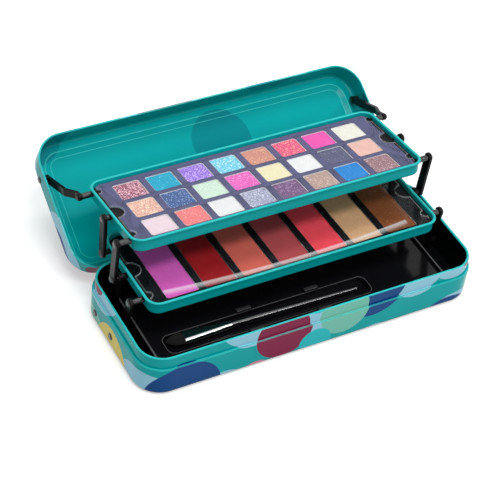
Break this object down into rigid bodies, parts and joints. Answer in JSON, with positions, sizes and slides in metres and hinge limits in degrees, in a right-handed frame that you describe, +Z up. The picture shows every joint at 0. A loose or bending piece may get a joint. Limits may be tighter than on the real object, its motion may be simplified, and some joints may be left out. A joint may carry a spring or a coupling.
{
  "type": "eyeshadow palette",
  "caption": "Hinged tin make-up palette with tiered trays of pressed powder that rise on pivoting links as the lid opens, over a lined base that holds a brush.",
  "frame": {"origin": "centre of the base tin on its underside", "axes": "+X along the length to the right, +Y to the rear where the lid hinges, +Z up"},
  "size_m": [0.2036, 0.1545, 0.0626],
  "materials": {
    "printed_tin": "glossy teal enamel on tinplate, with a printed outside",
    "teal_tin": "glossy teal enamel on tinplate",
    "black_plastic": "glossy black formed plastic",
    "black_link": "satin black moulded plastic",
    "black_steel": "black enamelled steel rivets and pins",
    "pan_aluminium": "pressed pan, bare metal",
    "clear_cover": "clear rigid plastic sheet",
    "brush_wood": "turned wood, black lacquer",
    "brush_ferrule": "polished ferrule with crimp rings",
    "brush_hair": "dark bundled hair",
    "shadow_rose_glitter": "pressed powder cake with fine sparkle",
    "shadow_teal_shimmer": "pressed powder cake with fine sparkle",
    "shadow_violet_glitter": "pressed powder cake with fine sparkle",
    "shadow_aqua": "pressed powder cake with fine sparkle",
    "shadow_copper": "pressed powder cake with fine sparkle",
    "shadow_coral_pink": "pressed powder cake, matt",
    "shadow_hot_pink": "pressed powder cake, matt",
    "shadow_ivory": "pressed powder cake, matt",
    "shadow_peach_glitter": "pressed powder cake with fine sparkle",
    "shadow_denim": "pressed powder cake with fine sparkle",
    "shadow_mint": "pressed powder cake, matt",
    "shadow_bright_pink": "pressed powder cake, matt",
    "shadow_butter": "pressed powder cake, matt",
    "shadow_white": "pressed powder cake, matt",
    "shadow_slate": "pressed powder cake, matt",
    "shadow_pale_peach": "pressed powder cake, matt",
    "shadow_blush_pink": "pressed powder cake, matt",
    "shadow_salmon": "pressed powder cake, matt",
    "shadow_milk": "pressed powder cake, matt",
    "shadow_silver_lilac": "pressed powder cake with fine sparkle",
    "shadow_plum": "pressed powder cake, matt",
    "shadow_rose_taupe": "pressed powder cake with fine sparkle",
    "shadow_bright_blue": "pressed powder cake, matt",
    "shadow_mauve": "pressed powder cake, matt",
    "cheek_orchid": "pressed powder cake, matt",
    "cheek_deep_red": "pressed powder cake, matt",
    "cheek_terracotta": "pressed powder cake, matt",
    "cheek_brick_rose": "pressed powder cake, matt",
    "cheek_coral_red": "pressed powder cake, matt",
    "cheek_tan": "pressed powder cake, matt",
    "cheek_brown": "pressed powder cake, matt"
  },
  "bodies": {
    "base": {"base_tin": "printed_tin", "base_liner": "black_plastic", "base_rivets": "black_steel", "hinge_pins": "black_steel", "brush_handle": "brush_wood", "brush_ferrule": "brush_ferrule", "brush_bristles": "brush_hair"},
    "lid": {"lid_tin": "printed_tin", "lid_rivets": "black_steel"},
    "lid_arms": {"lid_arm_left": "black_link", "lid_arm_right": "black_link"},
    "lower_rear_links": {"lower_rear_link_left": "black_link", "lower_rear_link_right": "black_link"},
    "lower_front_links": {"lower_front_link_left": "black_link", "lower_front_link_right": "black_link"},
    "upper_rear_links": {"upper_rear_link_left": "black_link", "upper_rear_link_right": "black_link"},
    "upper_front_links": {"upper_front_link_left": "black_link", "upper_front_link_right": "black_link"},
    "lower_tray": {"cheek_brick_rose": "cheek_brick_rose", "cheek_brown": "cheek_brown", "cheek_coral_red": "cheek_coral_red", "cheek_deep_red": "cheek_deep_red", "cheek_orchid": "cheek_orchid", "cheek_tan": "cheek_tan", "cheek_terracotta": "cheek_terracotta", "lower_cover": "clear_cover", "lower_insert": "black_plastic", "lower_pans": "pan_aluminium", "lower_tray_rivets": "black_steel", "lower_tray_tin": "teal_tin"},
    "upper_tray": {"shadow_aqua": "shadow_aqua", "shadow_blush_pink": "shadow_blush_pink", "shadow_bright_blue": "shadow_bright_blue", "shadow_bright_pink": "shadow_bright_pink", "shadow_butter": "shadow_butter", "shadow_copper": "shadow_copper", "shadow_coral_pink": "shadow_coral_pink", "shadow_denim": "shadow_denim", "shadow_hot_pink": "shadow_hot_pink", "shadow_ivory": "shadow_ivory", "shadow_mauve": "shadow_mauve", "shadow_milk": "shadow_milk", "shadow_mint": "shadow_mint", "shadow_pale_peach": "shadow_pale_peach", "shadow_peach_glitter": "shadow_peach_glitter", "shadow_plum": "shadow_plum", "shadow_rose_glitter": "shadow_rose_glitter", "shadow_rose_taupe": "shadow_rose_taupe", "shadow_salmon": "shadow_salmon", "shadow_silver_lilac": "shadow_silver_lilac", "shadow_slate": "shadow_slate", "shadow_teal_shimmer": "shadow_teal_shimmer", "shadow_violet_glitter": "shadow_violet_glitter", "shadow_white": "shadow_white", "upper_cover": "clear_cover", "upper_insert": "black_plastic", "upper_pans": "pan_aluminium", "upper_tray_rivets": "black_steel", "upper_tray_tin": "teal_tin"}
  },
  "joints": [
    {"name": "lid_hinge", "type": "hinge", "parent": "base", "child": "lid", "pos_m": [0, 0.0405, 0.0167], "axis": [1, 0, 0], "range_deg": [0, 150]},
    {"name": "lid_arm_pivot", "type": "hinge", "parent": "lid", "child": "lid_arms", "pos_m": [0, 0.09759, 0.03661], "axis": [1, 0, 0], "range_deg": [0, 49.32]},
    {"name": "lower_rear_pivot", "type": "hinge", "parent": "base", "child": "lower_rear_links", "pos_m": [0, 0.0214, 0.0068], "axis": [1, 0, 0], "range_deg": [0, 62.47]},
    {"name": "lower_front_pivot", "type": "hinge", "parent": "base", "child": "lower_front_links", "pos_m": [0, 0.0024, 0.00734], "axis": [1, 0, 0], "range_deg": [0, 60.84]},
    {"name": "lower_tray_pivot", "type": "hinge", "parent": "lower_rear_links", "child": "lower_tray", "pos_m": [0, 0.01756, 0.03275], "axis": [1, 0, 0], "range_deg": [-59.47, 0]},
    {"name": "upper_rear_pivot", "type": "hinge", "parent": "lower_tray", "child": "upper_rear_links", "pos_m": [0, 0.03803, 0.03168], "axis": [1, 0, 0], "range_deg": [0, 64.32]},
    {"name": "upper_front_pivot", "type": "hinge", "parent": "lower_tray", "child": "upper_front_links", "pos_m": [0, 0.01756, 0.03275], "axis": [1, 0, 0], "range_deg": [0, 61.16]},
    {"name": "upper_tray_pivot", "type": "hinge", "parent": "upper_rear_links", "child": "upper_tray", "pos_m": [0, 0.03922, 0.05504], "axis": [1, 0, 0], "range_deg": [-58.92, 0]}
  ],
  "couplings": [
    {"joint": "lid_arm_pivot", "follows": "lid_hinge", "ratio": 0.32871},
    {"joint": "lower_rear_pivot", "follows": "lid_hinge", "ratio": 0.4164},
    {"joint": "lower_front_pivot", "follows": "lid_hinge", "ratio": 0.40552},
    {"joint": "lower_tray_pivot", "follows": "lid_hinge", "ratio": -0.3964},
    {"joint": "upper_rear_pivot", "follows": "lid_hinge", "ratio": 0.42873},
    {"joint": "upper_front_pivot", "follows": "lid_hinge", "ratio": 0.40768},
    {"joint": "upper_tray_pivot", "follows": "lid_hinge", "ratio": -0.39273}
  ]
}
